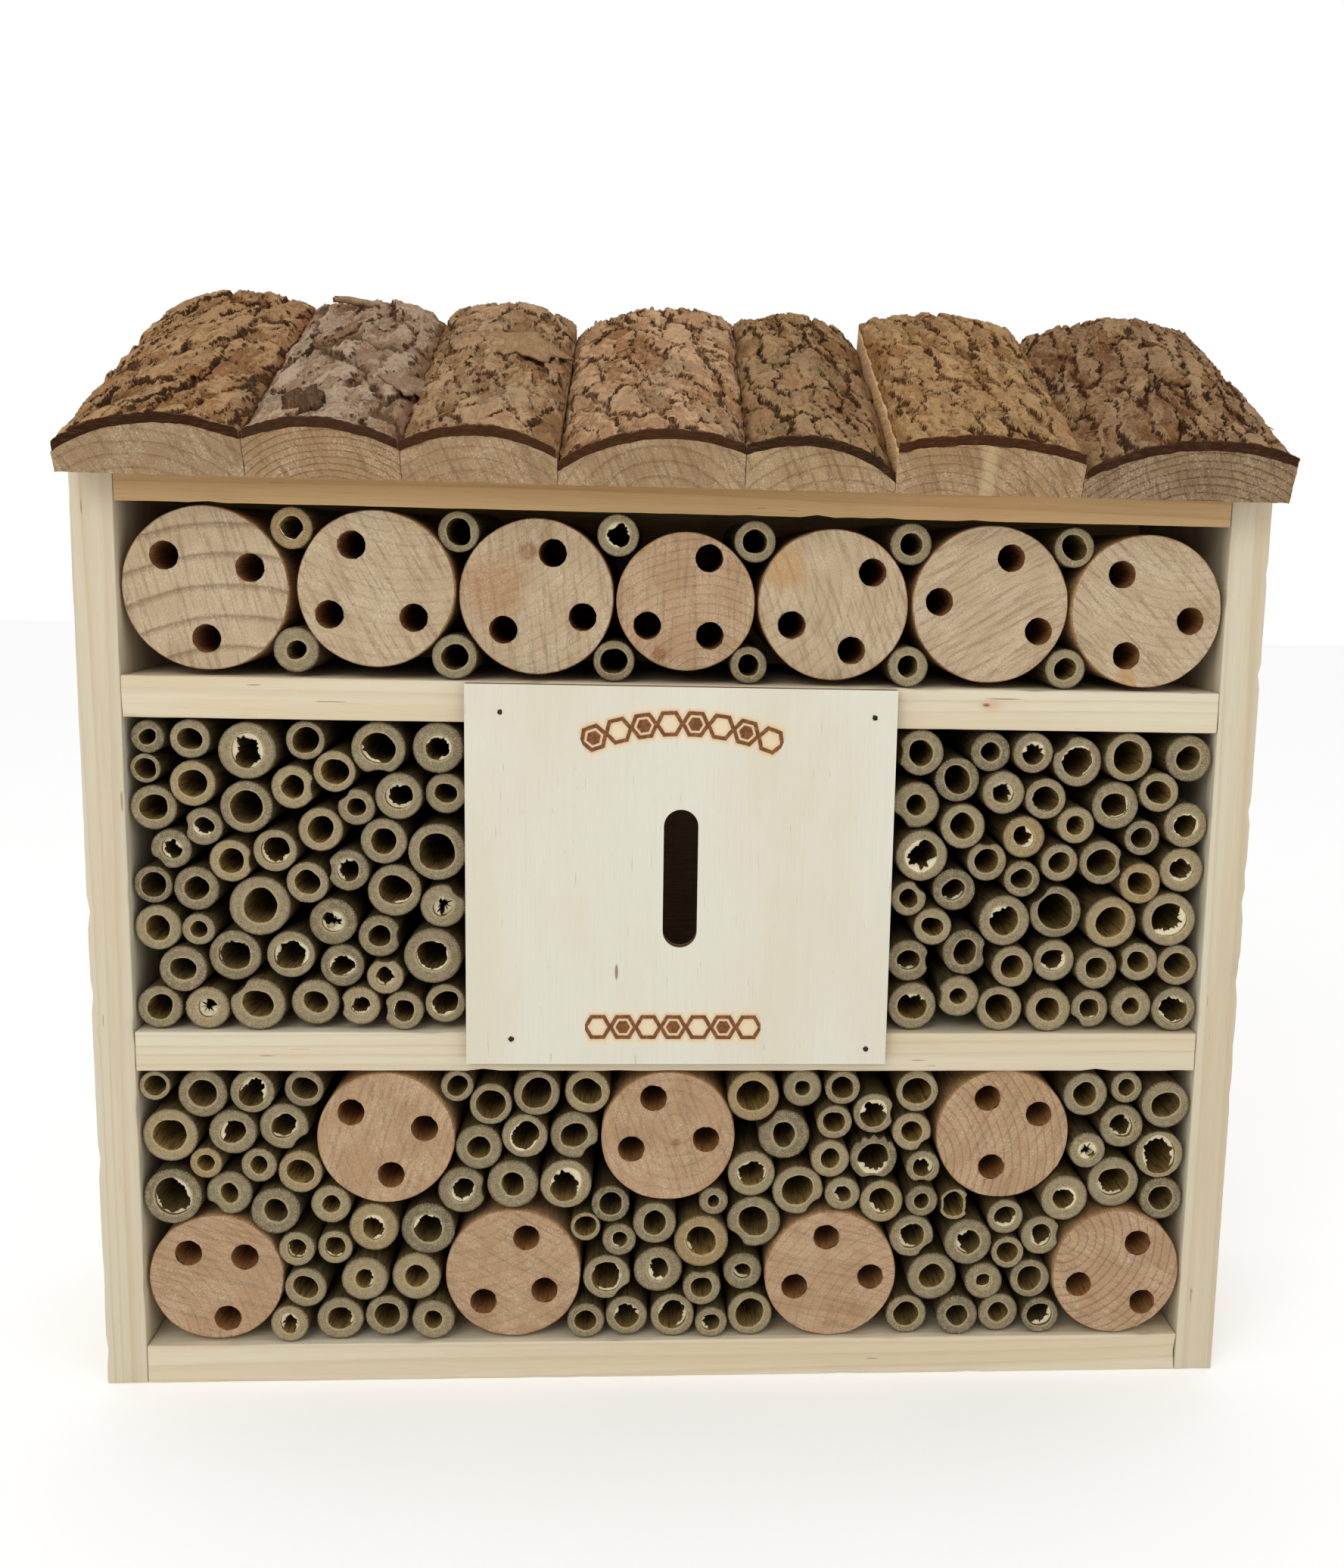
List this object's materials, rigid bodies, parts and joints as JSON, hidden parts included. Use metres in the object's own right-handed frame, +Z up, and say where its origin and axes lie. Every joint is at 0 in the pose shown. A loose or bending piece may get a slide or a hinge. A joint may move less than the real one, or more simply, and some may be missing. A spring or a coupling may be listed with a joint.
{
  "type": "insect hotel",
  "caption": "Wooden insect hotel: a pine box on two shelves filled with drilled logs and reed tubes, a slotted butterfly chamber, and a pent roof of bark-covered slabs.",
  "frame": {"origin": "middle of the base board's underside", "axes": "+X to the right seen from the front, +Y to the back, +Z up"},
  "size_m": [0.34, 0.1173, 0.3322],
  "materials": {
    "pine_board": "planed, unfinished",
    "plywood": "sanded, unfinished",
    "log_wood": "sawn end grain",
    "reed": "dry, cut ends",
    "slab_wood": "rough sawn",
    "bark": "rough, flaking",
    "steel_nail": "bright wire",
    "zinc_plate": "zinc plated"
  },
  "bodies": {
    "root": {"back_panel": "plywood", "back_panel_nails": "steel_nail", "bark_1": "bark", "bark_2": "bark", "bark_3": "bark", "bark_4": "bark", "bark_5": "bark", "bark_6": "bark", "bark_7": "bark", "base_board": "pine_board", "frame_nails": "steel_nail", "front_plate": "plywood", "hanger_plate": "zinc_plate", "hanger_screws": "steel_nail", "left_partition": "pine_board", "left_side_board": "pine_board", "low_log_1": "log_wood", "low_log_2": "log_wood", "low_log_3": "log_wood", "low_log_4": "log_wood", "low_log_5": "log_wood", "low_log_6": "log_wood", "low_log_7": "log_wood", "lower_shelf": "pine_board", "plate_nails": "steel_nail", "reeds_low_1": "reed", "reeds_low_2": "reed", "reeds_low_3": "reed", "reeds_low_4": "reed", "reeds_low_5": "reed", "reeds_low_6": "reed", "reeds_low_7": "reed", "reeds_middle_left_1": "reed", "reeds_middle_left_2": "reed", "reeds_middle_left_3": "reed", "reeds_middle_right_1": "reed", "reeds_middle_right_2": "reed", "reeds_middle_right_3": "reed", "reeds_top": "reed", "right_partition": "pine_board", "right_side_board": "pine_board", "roof_deck": "pine_board", "roof_nails": "steel_nail", "roof_slab_1": "slab_wood", "roof_slab_2": "slab_wood", "roof_slab_3": "slab_wood", "roof_slab_4": "slab_wood", "roof_slab_5": "slab_wood", "roof_slab_6": "slab_wood", "roof_slab_7": "slab_wood", "top_log_1": "log_wood", "top_log_2": "log_wood", "top_log_3": "log_wood", "top_log_4": "log_wood", "top_log_5": "log_wood", "top_log_6": "log_wood", "top_log_7": "log_wood", "upper_shelf": "pine_board"}
  },
  "joints": []
}
